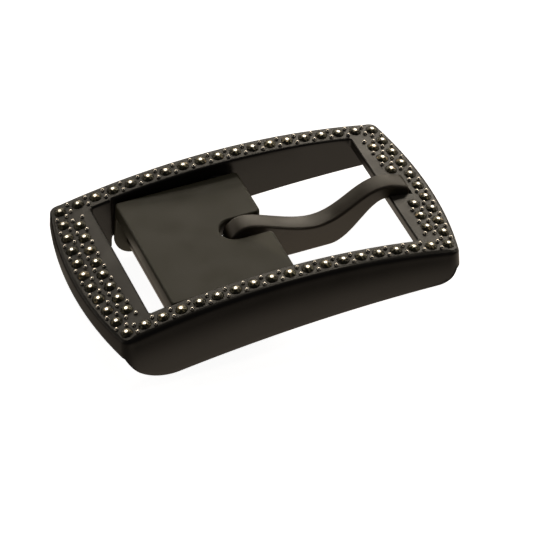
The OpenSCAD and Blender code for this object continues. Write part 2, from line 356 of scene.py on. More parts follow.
def new_material(name: str) -> tuple[bpy.types.Material, bpy.types.NodeTree, bpy.types.NodeSocket]:
    """Makes an empty node material.

    Args:
        name: The material's name.

    Returns:
        The material, its tree and the output's surface socket.
    """
    made = bpy.data.materials.new(name)
    made.use_nodes = True
    made.node_tree.nodes.clear()
    output = add_node(made.node_tree, "ShaderNodeOutputMaterial")
    return made, made.node_tree, output.inputs["Surface"]


@dataclass(frozen=True)
class LacqueredCasting:
    """Zinc alloy die casting, bead blasted and stoved with a satin or matt lacquer: soft, warm, dark.

    The blast leaves a fine pebble under the lacquer that spreads highlights, and the lacquer thins on
    edges. The real pebble is about 0.05 mm, too fine to show, so it is drawn three to four times as
    coarse.
    """

    name: str
    shade: str
    light_shade: str
    edge_shade: str
    roughness: float = 0.32
    ior: float = 1.5
    blast_mm: float = 0.16
    cloud_mm: float = 7.0
    blast_depth_mm: float = 0.004

    def material(self) -> bpy.types.Material:
        """Builds the finish: cloudy lacquer colour, thinned edges, blasted grain in the bump.

        Returns:
            The material.
        """
        made, tree, surface = new_material(self.name)
        place = add_node(tree, "ShaderNodeTexCoord").outputs["Object"]
        clouds = add_node(
            tree, "ShaderNodeTexNoise", None,
            {"Scale": 1 / (self.cloud_mm * MM), "Detail": 4.0, "Roughness": 0.6}, {"Vector": place},
        )
        blast = add_node(
            tree, "ShaderNodeTexNoise", None,
            {"Scale": 1 / (self.blast_mm * MM), "Detail": 2.0, "Roughness": 0.55}, {"Vector": place},
        )
        lacquer = add_node(
            tree, "ShaderNodeMix", {"data_type": "RGBA"},
            {6: colour(self.shade), 7: colour(self.light_shade)}, {0: clouds.outputs["Fac"]},
        )
        edge = add_node(
            tree, "ShaderNodeMapRange", {"interpolation_type": "SMOOTHSTEP"},
            {"From Min": 0.54, "From Max": 0.66, "To Min": 0.0, "To Max": 0.5},
            {"Value": add_node(tree, "ShaderNodeNewGeometry").outputs["Pointiness"]},
        )
        tint = add_node(
            tree, "ShaderNodeMix", {"data_type": "RGBA"}, {7: colour(self.edge_shade)},
            {0: edge.outputs["Result"], 6: lacquer.outputs[2]},
        )
        smoothest, roughest = self.roughness - 0.04, self.roughness + 0.05
        rough = add_node(
            tree, "ShaderNodeMapRange", None,
            {"From Min": 0.35, "From Max": 0.65, "To Min": smoothest, "To Max": roughest},
            {"Value": clouds.outputs["Fac"]},
        )
        bump = add_node(
            tree, "ShaderNodeBump", None, {"Strength": 0.5, "Distance": self.blast_depth_mm * MM},
            {"Height": blast.outputs["Fac"]},
        )
        shader = add_node(
            tree, "ShaderNodeBsdfPrincipled", None, {"IOR": self.ior},
            {"Base Color": tint.outputs[2], "Roughness": rough.outputs["Result"],
             "Normal": bump.outputs["Normal"]},
        )
        tree.links.new(shader.outputs[0], surface)
        return made


@dataclass(frozen=True)
class PolishedBead:
    """Nickel plate on the raised beads, burnished by the setter's tool: tiny mirrors with a spark each."""

    name: str = "burnished_nickel"
    shade: str = "#e6e0d6"
    roughness: float = 0.18
    tool_mm: float = 0.5

    def material(self) -> bpy.types.Material:
        """Builds the finish: a bright metal with tool marks that vary its polish.

        Returns:
            The material.
        """
        made, tree, surface = new_material(self.name)
        place = add_node(tree, "ShaderNodeTexCoord").outputs["Object"]
        marks = add_node(
            tree, "ShaderNodeTexNoise", None, {"Scale": 1 / (self.tool_mm * MM), "Detail": 2.0},
            {"Vector": place},
        )
        smoothest, roughest = self.roughness - 0.06, self.roughness + 0.1
        rough = add_node(
            tree, "ShaderNodeMapRange", None,
            {"From Min": 0.3, "From Max": 0.7, "To Min": smoothest, "To Max": roughest},
            {"Value": marks.outputs["Fac"]},
        )
        shader = add_node(
            tree, "ShaderNodeBsdfPrincipled", None, {"Base Color": colour(self.shade), "Metallic": 1.0},
            {"Roughness": rough.outputs["Result"]},
        )
        tree.links.new(shader.outputs[0], surface)
        return made


@dataclass(frozen=True)
class SmokedCrystal:
    """Smoked, foil-backed lead glass, machine cut: facets with painted glints round a painted highlight.

    Each facet's tint, from dark olive to champagne, is a painted glint laid at random, and shows as a dark,
    soft glint of its own. At the middle of the flat table a near-white foil colour is faded in: a painted
    highlight, which as metal also mirrors the light. The glass lays one thin gloss over all.
    """

    name: str = "smoked_crystal"
    dark: str = "#3a362d"
    olive: str = "#45432f"
    champagne_glint: str = "#a08d70"
    # Near-white colour of the painted highlight at each table's middle; the two window values below set where
    # it fades in.
    foil_highlight: str = "#fbf7f0"
    facet_roughness: float = 0.3
    table_roughness: float = 0.1
    glass_ior: float = 1.6
    highlight_edge: float = 0.42
    highlight_middle: float = 0.8

    def material(self) -> bpy.types.Material:
        """Builds the finish: a painted glint tint for each facet, a painted highlight of near-white foil
        colour faded in at the table's middle, a coat.

        Returns:
            The material.
        """
        made, tree, surface = new_material(self.name)
        # Painted glints: each facet's random glint value picks a tint from dark through olive to champagne.
        glint = add_node(tree, "ShaderNodeAttribute", {"attribute_name": "facet_glint"}).outputs["Fac"]
        geometry = add_node(tree, "ShaderNodeNewGeometry")
        ramp = add_node(tree, "ShaderNodeValToRGB", links={"Fac": glint})
        ramp.color_ramp.elements[0].color = colour(self.dark)
        ramp.color_ramp.elements[1].color = colour(self.champagne_glint)
        middle = ramp.color_ramp.elements.new(0.55)
        middle.color = colour(self.olive)
        # Painted highlight: the per-point fade brings the near-white foil colour in at each table's middle.
        centre = add_node(tree, "ShaderNodeAttribute", {"attribute_name": "painted_highlight_centre"}).outputs["Fac"]
        highlight_window = add_node(
            tree, "ShaderNodeMapRange", {"interpolation_type": "SMOOTHSTEP"},
            {"From Min": self.highlight_edge, "From Max": self.highlight_middle}, {"Value": centre},
        )
        tint = add_node(
            tree, "ShaderNodeMix", {"data_type": "RGBA"}, {7: colour(self.foil_highlight)},
            {0: highlight_window.outputs["Result"], 6: ramp.outputs["Color"]},
        )
        rough = add_node(
            tree, "ShaderNodeMapRange", None,
            {"To Min": self.facet_roughness, "To Max": self.table_roughness},
            {"Value": highlight_window.outputs["Result"]},
        )
        shader = add_node(
            tree, "ShaderNodeBsdfPrincipled", None,
            {"Metallic": 0.7, "Coat Weight": 0.35, "Coat Roughness": 0.12, "Coat IOR": self.glass_ior},
            {"Base Color": tint.outputs[2], "Roughness": rough.outputs["Result"],
             "Normal": geometry.outputs["True Normal"]},
        )
        tree.links.new(shader.outputs[0], surface)
        return made


@dataclass(frozen=True)
class GroundSteel:
    """Ground steel rod or plate: grey metal with fine grinding lines, stretched along the part or even."""

    name: str
    shade: str
    roughness: float
    line_mm: float = 0.2
    groove_mm: float = 0.003
    lines_along: tuple[float, float, float] = (1.0, 0.04, 1.0)

    def material(self) -> bpy.types.Material:
        """Builds the finish: one metal colour with grinding lines in roughness and bump.

        Returns:
            The material.
        """
        made, tree, surface = new_material(self.name)
        place = add_node(tree, "ShaderNodeTexCoord").outputs["Object"]
        stretched = add_node(
            tree, "ShaderNodeMapping", None, {"Scale": self.lines_along}, {"Vector": place}
        )
        lines = add_node(
            tree, "ShaderNodeTexNoise", None, {"Scale": 1 / (self.line_mm * MM), "Detail": 3.0},
            {"Vector": stretched.outputs["Vector"]},
        )
        smoothest, roughest = self.roughness - 0.06, self.roughness + 0.08
        rough = add_node(
            tree, "ShaderNodeMapRange", None,
            {"From Min": 0.3, "From Max": 0.7, "To Min": smoothest, "To Max": roughest},
            {"Value": lines.outputs["Fac"]},
        )
        bump = add_node(
            tree, "ShaderNodeBump", None, {"Strength": 0.35, "Distance": self.groove_mm * MM},
            {"Height": lines.outputs["Fac"]},
        )
        shader = add_node(
            tree, "ShaderNodeBsdfPrincipled", None, {"Base Color": colour(self.shade), "Metallic": 1.0},
            {"Roughness": rough.outputs["Result"], "Normal": bump.outputs["Normal"]},
        )
        tree.links.new(shader.outputs[0], surface)
        return made


@dataclass(frozen=True)
class MouldedNylon:
    """Black nylon, moulded: slightly waxy with a faint mottle."""

    name: str = "black_nylon"
    shade: str = "#1d1d1f"
    mottle_mm: float = 0.5
    ior: float = 1.53

    def material(self) -> bpy.types.Material:
        """Builds the finish: dielectric black with a faint mottled roughness.

        Returns:
            The material.
        """
        made, tree, surface = new_material(self.name)
        place = add_node(tree, "ShaderNodeTexCoord").outputs["Object"]
        mottle = add_node(
            tree, "ShaderNodeTexNoise", None, {"Scale": 1 / (self.mottle_mm * MM)}, {"Vector": place}
        )
        rough = add_node(
            tree, "ShaderNodeMapRange", None, {"To Min": 0.4, "To Max": 0.6}, {"Value": mottle.outputs["Fac"]}
        )
        shader = add_node(
            tree, "ShaderNodeBsdfPrincipled", None, {"Base Color": colour(self.shade), "IOR": self.ior},
            {"Roughness": rough.outputs["Result"]},
        )
        tree.links.new(shader.outputs[0], surface)
        return made


def dress(piece: bpy.types.Object, finish: bpy.types.Material) -> None:
    """Gives a whole piece one finish, in every material slot that it has."""
    if not piece.data.materials:
        piece.data.materials.append(finish)
    for i in range(len(piece.data.materials)):
        piece.data.materials[i] = finish


# ---------------------------------------------------------------- the arched face and its stones


@dataclass(frozen=True)
class Face:
    """The arched decorated face and the rows of stones on it.

    corner_h is the height of the stones' level over the corner stones, rise how much higher the middle
    of a rail is, and drop how far the metal face lies under that level.
    """

    corner_h: float = 12.4
    span_x: float = 68.0
    span_y: float = 38.0
    rise: float = 3.86
    drop: float = 0.25
    rail_stones: int = 19
    end_spaces: int = 10
    row_bow: float = 1.9
    inner_row_x: float = 31.9
    inner_row_bow: float = 0.7
    inner_row_half: float = 3.5
    bead_side: float = 1.03

    @property
    def radius(self) -> float:
        """Radius of the arch through the stones' level."""
        return ((self.span_x / 2) ** 2 + self.rise**2) / (2 * self.rise)

    @property
    def pitch(self) -> tuple[float, float]:
        """Spacing of the stones along a rail and along an end."""
        return self.span_x / (self.rail_stones - 1), self.span_y / self.end_spaces

    def height(self, x: np.ndarray) -> np.ndarray:
        """Height of the stones' level at x: the arch's circle about its low centre."""
        centre = self.corner_h + self.rise - self.radius
        return centre + np.sqrt(self.radius**2 - np.asarray(x, float) ** 2)

    def outer_x(self, y: np.ndarray) -> np.ndarray:
        """Distance from the middle of an end's outer row, bowed as a parabola."""
        return self.span_x / 2 + self.row_bow * (1 - (2 * np.asarray(y) / self.span_y) ** 2)

    def inner_x(self, y: np.ndarray) -> np.ndarray:
        """Distance from the middle of an end's inner row, a flatter parabola."""
        half = self.inner_row_half * self.pitch[1]
        return self.inner_row_x + self.inner_row_bow * (1 - (np.asarray(y) / half) ** 2)

    def rows(self) -> dict[StoneRow, np.ndarray]:
        """Places of the stones in plan, one array of (x, y) for each row.

        The right inner row leaves out the stones where the tongue rests.

        Returns:
            Each row's places in mm.
        """
        along, side = self.pitch
        rail = (np.arange(1, self.rail_stones - 1)) * along - self.span_x / 2
        outer = np.arange(1, self.end_spaces) * side - self.span_y / 2
        inner = (np.arange(self.end_spaces - 2) - (self.end_spaces - 3) / 2) * side
        seated = inner[np.abs(inner) > side]
        half_y = self.span_y / 2
        corners = np.array([(sx * self.span_x / 2, sy * half_y) for sx in (-1, 1) for sy in (-1, 1)])
        return {
            StoneRow.CORNERS: corners,
            StoneRow.FRONT_RAIL: np.column_stack([rail, np.full_like(rail, -half_y)]),
            StoneRow.REAR_RAIL: np.column_stack([rail, np.full_like(rail, half_y)]),
            StoneRow.LEFT_OUTER: np.column_stack([-self.outer_x(outer), outer]),
            StoneRow.LEFT_INNER: np.column_stack([-self.inner_x(inner), inner]),
            StoneRow.RIGHT_OUTER: np.column_stack([self.outer_x(outer), outer]),
            StoneRow.RIGHT_INNER: np.column_stack([self.inner_x(seated), seated]),
        }

    def beads(self) -> np.ndarray:
        """Places of the beads in plan: both sides of each row, half way between its stones.

        The right inner row has none next to the tongue's seat.

        Returns:
            Array of (x, y) in mm.
        """
        along, side = self.pitch
        rail = (np.arange(self.rail_stones - 1) + 0.5) * along - self.span_x / 2
        outer = (np.arange(self.end_spaces) + 0.5) * side - self.span_y / 2
        inner = (np.arange(self.end_spaces - 1) - (self.end_spaces - 2) / 2) * side
        seated = inner[np.abs(inner) > 1.5 * side]
        groups = []
        for end in (-1, 1):
            for off in (-self.bead_side, self.bead_side):
                groups.append(np.column_stack([rail, np.full_like(rail, end * self.span_y / 2 + off)]))
                groups.append(np.column_stack([end * (self.outer_x(outer) + off), outer]))
        for off in (-self.bead_side, self.bead_side):
            groups.append(np.column_stack([-(self.inner_x(inner) + off), inner]))
            groups.append(np.column_stack([self.inner_x(seated) + off, seated]))
        return np.concatenate(groups)

    def stand(self, places: np.ndarray, shape: np.ndarray) -> np.ndarray:
        """Stands one shape at many places, upright to the face.

        Each point goes to the place plus the shape's own x along the face's slope, its y across and its z
        along the face's normal, whose lean is the angle with sine x over the arch's radius.

        Args:
            places: Array of (x, y).
            shape: Points of the shape about its place, in mm, shared or one set for each place.

        Returns:
            Array of places by points by 3.
        """
        sine = places[:, 0] / self.radius
        cosine = np.sqrt(1 - sine**2)
        shapes = np.broadcast_to(shape, (len(places), *shape.shape[-2:]))
        x = places[:, :1] + shapes[..., 0] * cosine[:, None] + shapes[..., 2] * sine[:, None]
        y = places[:, 1:] + shapes[..., 1]
        ground = self.height(places[:, 0])[:, None]
        z = ground - shapes[..., 0] * sine[:, None] + shapes[..., 2] * cosine[:, None]
        return np.stack([x, y, z], axis=-1)


# ---------------------------------------------------------------- frame


@dataclass
class FrameCasting:
    """The one-piece arched frame: two skirted rails, two bowed bars, and beads between the stones.

    Relief is how much further out each side of the opening lies past pad_x, where the left bar's pad
    ends. The skirt's lower edge follows skirt_arc (radius, centre x, depth of its highest point), and
    skirt_corners hold (radius, centre x, side, depth of the end wall's lower edge). Depths are under
    the corner stones' level, and seat_floor is (x, height over that level) under the tongue's tip.
    """

    face: Face
    finish: LacqueredCasting
    bead_finish: PolishedBead
    length: float
    width: float
    end_radius: float = 82.2
    corner_r: float = 3.0
    opening_l: float = 56.6
    opening_w: float = 33.0
    opening_r: float = 0.4
    relief: float = 0.3
    relief_fade: float = 0.25
    pad_x: float = -24.2
    bar_margin: float = 0.6
    rail_inset: float = 1.15
    end_inset: float = 0.12
    rail_edge: float = 1.2
    end_edge: float = 0.45
    inner_edge: float = 0.45
    lower_edge: float = 0.25
    flared_h: float = 7.6
    bar_wall: float = 2.1
    ledge: float = 8.1
    skirt_arc: tuple[float, float, float] = (322.0, 23.5, 6.9)
    skirt_corners: tuple[tuple[float, float, int, float], ...] = (
        (10.5, -26.0, -1, 4.75), (4.2, 30.6, 1, 4.2)
    )
    hollow_r: float = 1.18
    hollow_fade: float = 0.2
    hollow_depth: float = 0.4
    seat_floor: tuple[tuple[float, float], ...] = (
        (26.0, 0.0), (27.8, -0.05), (33.25, -1.2), (33.55, -0.6), (33.7, 9.0)
    )
    seat_half_w: float = 2.46
    seat_fade: float = 0.14
    right_bar_x: float = 20.0
    spacing: float = 0.19
    face_steps: int = 42
    bead_r: float = 0.45
    bead_lift: float = 0.1
    bead_root: float = 0.35
    bead_sides: int = 10

    def outlines(self) -> tuple[np.ndarray, ...]:
        """Matching points round the skirt and round the opening.

        Four runs (rail, end, rail, end) and the four corners between them each share one parameter from
        0 to 1: a rail is straight, an end follows its bowed circle, and a corner follows a small circle
        and the last stretch of the end's.

        Returns:
            Skirt points, their outward normals, opening points, their normals into the metal, and each
            station's progress from a rail (0) round a corner to an end (1).
        """
        centre_x = self.length / 2 - self.end_radius
        corner_y = self.width / 2 - self.corner_r
        corner_x = centre_x + math.sqrt((self.end_radius - self.corner_r) ** 2 - corner_y**2)
        turn = math.degrees(math.atan2(corner_y, corner_x - centre_x))
        half_l, half_w, r = self.opening_l / 2, self.opening_w / 2, self.opening_r
        bar_turn = math.degrees(math.asin((half_w + self.bar_margin) / self.end_radius))
        n_rail = round(2 * corner_x / self.spacing)
        n_end = round(2 * self.end_radius * math.radians(bar_turn) / self.spacing)
        n_arc = round(self.corner_r * math.radians(90 - turn) / self.spacing)
        n_tail = round(self.end_radius * math.radians(turn - bar_turn) / self.spacing)

        def normals(angles: np.ndarray) -> np.ndarray:
            """Unit vectors at angles given in degrees: (cosine, sine)."""
            return np.stack([np.cos(np.radians(angles)), np.sin(np.radians(angles))], axis=-1)

        rail_x = np.linspace(-corner_x, corner_x, n_rail, endpoint=False)
        inner_x = np.linspace(-half_l + r, half_l - r, n_rail, endpoint=False)
        rail = np.column_stack([rail_x, np.full(n_rail, -self.width / 2)])
        rail_in = np.column_stack([inner_x, np.full(n_rail, -half_w)])
        rail_n = np.tile([0.0, -1.0], (n_rail, 1))
        first = np.linspace(-90, -turn, n_arc, endpoint=False)
        second = np.linspace(-turn, -bar_turn, n_tail, endpoint=False)
        corner = np.concatenate([
            np.array([corner_x, -corner_y]) + self.corner_r * normals(first),
            np.array([centre_x, 0.0]) + self.end_radius * normals(second),
        ])
        corner_n = normals(np.concatenate([first, second]))
        swing = np.linspace(-90, 0, n_arc + n_tail, endpoint=False)
        corner_in = np.array([half_l - r, -half_w + r]) + r * normals(swing)
        sweep = np.linspace(-bar_turn, bar_turn, n_end, endpoint=False)
        end = np.array([centre_x, 0.0]) + self.end_radius * normals(sweep)
        inner_y = np.linspace(-half_w + r, half_w - r, n_end, endpoint=False)
        end_in = np.column_stack([np.full(n_end, half_l), inner_y])
        end_n_in = np.tile([1.0, 0.0], (n_end, 1))

        def mirrored(part: np.ndarray, first_is: np.ndarray) -> np.ndarray:
            """The corner after an end: the corner before it, mirrored across the belt, run backwards."""
            flipped = np.concatenate([part[1:], first_is[:1]])[::-1]
            return flipped * np.array([1.0, -1.0])

        round_half = np.linspace(0, 1, n_arc + n_tail, endpoint=False)
        half_skirt = [rail, corner, end, mirrored(corner, end)]
        half_norm = [rail_n, corner_n, normals(sweep), mirrored(corner_n, normals(sweep))]
        half_in = [rail_in, corner_in, end_in, mirrored(corner_in, end_in)]
        half_in_n = [rail_n, normals(swing), end_n_in, mirrored(normals(swing), end_n_in)]
        half_way = [np.zeros(n_rail), round_half, np.ones(n_end), np.append(round_half[1:], 1.0)[::-1]]

        def both_halves(parts: list[np.ndarray]) -> np.ndarray:
            """One half turned half a turn makes the other."""
            return np.concatenate([*parts, *(-part for part in parts)])

        hole, progress = both_halves(half_in), np.abs(both_halves(half_way))
        hole[:, 1] *= 1 + self.relief * ease((hole[:, 0] - self.pad_x) / self.relief_fade) / half_w
        return both_halves(half_skirt), both_halves(half_norm), hole, both_halves(half_in_n), progress

    def skirt_bottom(self, x: np.ndarray) -> np.ndarray:
        """Height of the skirts' lower edge at x.

        A wide circle runs along the rails, a small circle rounds each lower corner, tangent to the
        first, and past it the end walls stay level.

        Args:
            x: Places along the belt.

        Returns:
            Heights above the standing plane.
        """
        base = self.face.corner_h
        big, big_x, depth = self.skirt_arc
        big_z = base - depth - big
        level = big_z + np.sqrt(big**2 - (x - big_x) ** 2)
        for small, small_x, side, drop in self.skirt_corners:
            small_z = big_z + math.sqrt((big + small) ** 2 - (small_x - big_x) ** 2)
            touch_x = small_x + (big_x - small_x) * small / (big + small)
            past = side * (x - touch_x) > 0
            reach = np.clip((x - small_x) / small, -1, 1)
            rounded = small_z - small * np.sqrt(1 - reach**2)
            level = np.where(past, np.minimum(rounded, base - drop), level)
            level = np.where(side * (x - small_x) >= small, base - drop, level)
        return level

    def seat(self, flat: np.ndarray) -> np.ndarray:
        """Sinks the face under each stone and under the tongue's tip.

        Under a stone the face drops into a hollow by a smooth step of the distance from the stone's
        middle, all of it hidden by the stone; under the tip a notch with a sloping floor takes the
        tongue's width.

        Args:
            flat: Points of the face in mm.

        Returns:
            The same points, lowered.
        """
        stones = np.concatenate(list(self.face.rows().values()))
        gap = np.sqrt(((flat[:, None, :2] - stones[None]) ** 2).sum(axis=-1)).min(axis=1)
        sunk = flat.copy()
        sunk[:, 2] -= self.hollow_depth * ease((self.hollow_r - gap) / self.hollow_fade)
        return self.notch(sunk)

    def notch(self, points: np.ndarray) -> np.ndarray:
        """Lowers points of the right bar to the floor of the tongue's seat.

        The floor is a broken line over x, and a smooth step over y keeps it within the seat's width.

        Args:
            points: Points in mm.

        Returns:
            The same points, lowered.
        """
        floor_x, floor_z = np.transpose(self.seat_floor)
        floor = np.interp(points[:, 0], floor_x, floor_z) + self.face.corner_h
        on_bar = points[:, 0] > self.right_bar_x
        inside = ease((self.seat_half_w - np.abs(points[:, 1])) / self.seat_fade) * on_bar
        lowered = points.copy()
        lowered[:, 2] -= inside * np.maximum(points[:, 2] - floor, 0)
        return lowered

    def section(self) -> np.ndarray:
        """The frame's surface as a grid: stations round the frame by points round each section.

        Every station's section goes from the opening's edge over the face, down the outer wall, under the
        skirt, up the strap's way and under the bar, and up the opening's wall. Straight stretches are
        (1 - t) of one line plus t of the next, and edges are rounded by a cosine and a sine. The outer
        wall of a rail flares as one minus the square of the share of flared_h that is left. The strap's
        way is the stretch of the line from the opening to the skirt that lies between the rails.

        Returns:
            Array of stations by points by 3.
        """
        skirt, out, hole, into, progress = self.outlines()
        along_rail = out[:, 1:] ** 2
        edge = self.end_edge + (self.rail_edge - self.end_edge) * along_rail
        rim = skirt - out * (self.end_inset + (self.rail_inset - self.end_inset) * along_rail)
        face_from, face_to = hole + into * self.inner_edge, rim - out * edge

        def level(plan: np.ndarray) -> np.ndarray:
            """Height of the metal face over places in plan."""
            return self.face.height(plan[..., 0]) - self.face.drop

        def column(plan: np.ndarray, z: np.ndarray) -> np.ndarray:
            """One column of the grid: a point at each station, from its place in plan and its height."""
            return np.concatenate([plan, z[..., None]], axis=-1)[:, None]

        inner_round = [column(
            hole + into * self.inner_edge * (1 - math.cos(a)),
            level(hole) - self.inner_edge * (1 - math.sin(a)),
        ) for a in np.radians([0, 22, 45, 68])]
        s = np.linspace(0, 1, self.face_steps)[None, :, None]
        top_plan = face_from[:, None] * (1 - s) + face_to[:, None] * s
        top = np.concatenate([top_plan, level(top_plan)[..., None]], axis=-1)
        outer_round = [column(
            face_to + out * edge * math.sin(a), level(rim) - edge[:, 0] * (1 - math.cos(a))
        ) for a in np.radians([14, 28, 42, 56, 70])]
        wall_top = level(rim) - edge[:, 0]
        bottom = self.skirt_bottom(skirt[:, 0])
        wall = []
        for t in np.linspace(0, 1, 9):
            z = wall_top + (bottom + self.lower_edge - wall_top) * t
            curved = np.clip(1 - (wall_top - z) / self.flared_h, 0, 1)[:, None] ** 2
            outward = (1 - curved) * along_rail + t * (1 - along_rail)
            wall.append(column(rim + (skirt - rim) * outward, z))
        under_edge = [column(
            skirt - out * self.lower_edge * (1 - math.cos(a)),
            bottom + self.lower_edge * (1 - math.sin(a)),
        ) for a in np.radians([22, 45, 68, 90])]
        foot = skirt - out * self.lower_edge
        way_y = self.opening_w / 2 + self.relief * (hole[:, 0] > self.pad_x)
        way = np.column_stack([
            hole[:, 0] + (foot[:, 0] - hole[:, 0]) * progress,
            np.where(progress > 0, np.clip(foot[:, 1], -way_y, way_y), hole[:, 1]),
        ])
        inner_bottom = level(hole) - self.bar_wall
        beyond = (np.abs(way[:, 0]) - self.opening_l / 2) / (self.length / 2 - self.opening_l / 2)
        way_bottom = self.skirt_bottom(way[:, 0])
        on_ledge = ease((way[:, 0] - self.pad_x) / self.relief_fade)
        ledge = way_bottom + (np.maximum(way_bottom, self.face.corner_h - self.ledge) - way_bottom) * on_ledge
        roof = np.maximum(inner_bottom + (bottom - inner_bottom) * np.clip(beyond, 0, 1), ledge)
        under = [column(foot + (way - foot) * t, bottom + (ledge - bottom) * t) for t in (0.33, 0.66, 1.0)]
        up = [column(way, ledge + (roof - ledge) * t) for t in (0.33, 0.66, 1.0)]
        ceiling = [
            column(way + (hole - way) * t, roof + (inner_bottom - roof) * t) for t in (0.25, 0.5, 0.75, 1.0)
        ]
        inner_top = level(hole) - self.inner_edge
        rise = [column(hole, inner_bottom + (inner_top - inner_bottom) * t) for t in (0.33, 0.66)]
        seated = self.seat(top.reshape(-1, 3)).reshape(top.shape)
        rings = np.concatenate([
            *inner_round, seated, *outer_round, *wall, *under_edge, *under, *up, *ceiling, *rise
        ], axis=1)
        return self.notch(rings.reshape(-1, 3)).reshape(len(skirt), -1, 3)

    def beads(self) -> tuple[np.ndarray, list[list[int]]]:
        """The raised beads: a round top on a short stem, as rings of a turned profile.

        Each ring's radius is the bead's radius times the cosine of its tilt, and its height the radius
        times the sine plus the bead's lift over the metal face; a last ring ends the stem under it.

        Returns:
            Points and faces of all the beads.
        """
        tilt = np.radians([78, 52, 27, 0])
        radii = np.append(self.bead_r * np.cos(tilt), self.bead_r)
        lifts = np.append(self.bead_r * np.sin(tilt) + self.bead_lift, -self.bead_root) - self.face.drop
        turn = np.radians(np.arange(0, 360, 360 // self.bead_sides))
        rings = np.stack([np.outer(radii, np.cos(turn)), np.outer(radii, np.sin(turn)),
                          np.repeat(lifts[:, None], len(turn), axis=1)], axis=-1)
        shape = rings.reshape(-1, 3)
        faces = grid_quads(len(radii), len(turn), False, True).tolist()
        faces.append(list(range(len(turn)))[::-1])
        faces.append(list(range(len(shape) - len(turn), len(shape))))
        placed = self.face.stand(self.face.beads(), shape)
        return joined([(points, faces) for points in placed])

    def build(self) -> list[bpy.types.Object]:
        """Makes the casting and its beads.

        Returns:
            Both pieces.
        """
        surface = self.section()
        quads = grid_quads(surface.shape[0], surface.shape[1], True, True)
        casting = make_piece("frame_casting", surface, quads, crease=40)
        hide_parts("frame")
        beads = make_piece("frame_beads", *self.beads(), crease=60)
        for piece, finish in ((casting, self.finish), (beads, self.bead_finish)):
            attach(piece, Body.FRAME.value)
            dress(piece, finish.material())
        return [casting, beads]


# ---------------------------------------------------------------- stones


@dataclass
class Rhinestones:
    """Round machine-cut stones: an octagonal table, three rings of crown facets and a pointed back.

    Heights are over the stone's own place, on the stones' level of the face. Stones' painted glints vary as a
    whole by stone_spread and from facet to facet by facet_spread, each times a random share from 0 to 1.
    """

    face: Face
    finish: SmokedCrystal
    radius: float = 1.2
    seed: int = 7
    table_share: float = 0.48
    table_z: float = 0.3
    star_share: float = 0.78
    star_z: float = 0.17
    girdle_z: tuple[float, float] = (-0.16, -0.3)
    tip_z: float = -1.2
    highlight_rim_fade: float = 0.3
    stone_spread: float = 0.7
    facet_spread: float = 0.9

    def cut(self) -> tuple[np.ndarray, list[list[int]], np.ndarray]:
        """One stone: a ring of 8 points round the table, 8 for the star, 16 and 16 for the girdle.

        The tip below and the middle of the table follow. A ring's points lie at its share of the
        radius times (cosine, sine) of even angles. The fade, which places the painted highlight, is 1 at
        the table's middle, lower on its rim and 0 elsewhere.

        Returns:
            Points about the stone's place, faces and the painted highlight's fade at each point.
        """
        def ring(count: int, share: float, z: float, offset: float) -> np.ndarray:
            """Points on a level circle, turned by the offset in spaces between points."""
            turn = 2 * math.pi * (np.arange(count) + offset) / count
            return np.column_stack([
                self.radius * share * np.cos(turn), self.radius * share * np.sin(turn), np.full(count, z)
            ])

        table, star = ring(8, self.table_share, self.table_z, 0.0), ring(8, self.star_share, self.star_z, 0.5)
        girdle, lower = (ring(16, 1.0, z, 0.0) for z in self.girdle_z)
        ends = np.array([[0.0, 0.0, self.tip_z], [0.0, 0.0, self.table_z]])
        points = np.concatenate([table, star, girdle, lower, ends])
        first_star, first_girdle, first_lower, tip, middle = 8, 16, 32, 48, 49
        faces: list[list[int]] = []
        for i in range(8):
            j, before, after = (i + 1) % 8, (i - 1) % 8, (2 * i + 2) % 16
            star_point, girdle_point = first_star + i, first_girdle + 2 * i
            faces.append([i, j, middle])
            faces.append([i, star_point, j])
            faces.append([i, first_star + before, girdle_point, star_point])
            faces.append([star_point, girdle_point, girdle_point + 1])
            faces.append([star_point, girdle_point + 1, first_girdle + after])
        for i in range(16):
            j = (i + 1) % 16
            faces.append([first_girdle + i, first_lower + i, first_lower + j, first_girdle + j])
            faces.append([first_lower + i, tip, first_lower + j])
        # The fade marks where the painted highlight shows: the table's middle and, weaker, its rim.
        highlight_fade = np.zeros(len(points))
        highlight_fade[:first_star] = self.highlight_rim_fade
        highlight_fade[middle] = 1.0
        return points, faces, highlight_fade

    def build(self) -> list[bpy.types.Object]:
        """Makes one piece of separate stones for each row, each stone turned by its own angle.

        Returns:
            A piece for each row.
        """
        shape, faces, highlight_fade = self.cut()
        chance = np.random.default_rng(self.seed)
        finish = self.finish.material()
        pieces = []
        for row, places in self.face.rows().items():
            angle = chance.uniform(0, 2 * math.pi, len(places))
            # Random shares of the painted glints, for each stone and for each facet.
            stone_glint_share = chance.beta(1.2, 3.0, len(places))
            facet_glint_share = chance.beta(0.6, 2.8, (len(places), len(faces)))
            glints = stone_glint_share[:, None] * self.stone_spread + self.facet_spread * facet_glint_share
            cosine, sine = np.cos(angle)[:, None], np.sin(angle)[:, None]
            turned = np.stack([
                shape[:, 0] * cosine - shape[:, 1] * sine,
                shape[:, 0] * sine + shape[:, 1] * cosine,
                np.repeat(shape[None, :, 2], len(places), axis=0),
            ], axis=-1)
            placed = self.face.stand(places, turned)
            points, all_faces = joined([(stone, faces) for stone in placed])
            piece = make_piece(row.value.replace("stones", "crystals"), points, all_faces, crease=180)
            glint = piece.data.attributes.new("facet_glint", "FLOAT", "FACE")
            glint.data.foreach_set("value", np.clip(glints, 0, 1).ravel().astype(np.float32))
            # Per-point fade of the painted highlight.
            centre = piece.data.attributes.new("painted_highlight_centre", "FLOAT", "POINT")
            centre.data.foreach_set("value", np.tile(highlight_fade, len(places)).astype(np.float32))
            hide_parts(row.value)
            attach(piece, Body.FRAME.value)
            dress(piece, finish)
            pieces.append(piece)
        return pieces


# ---------------------------------------------------------------- housing


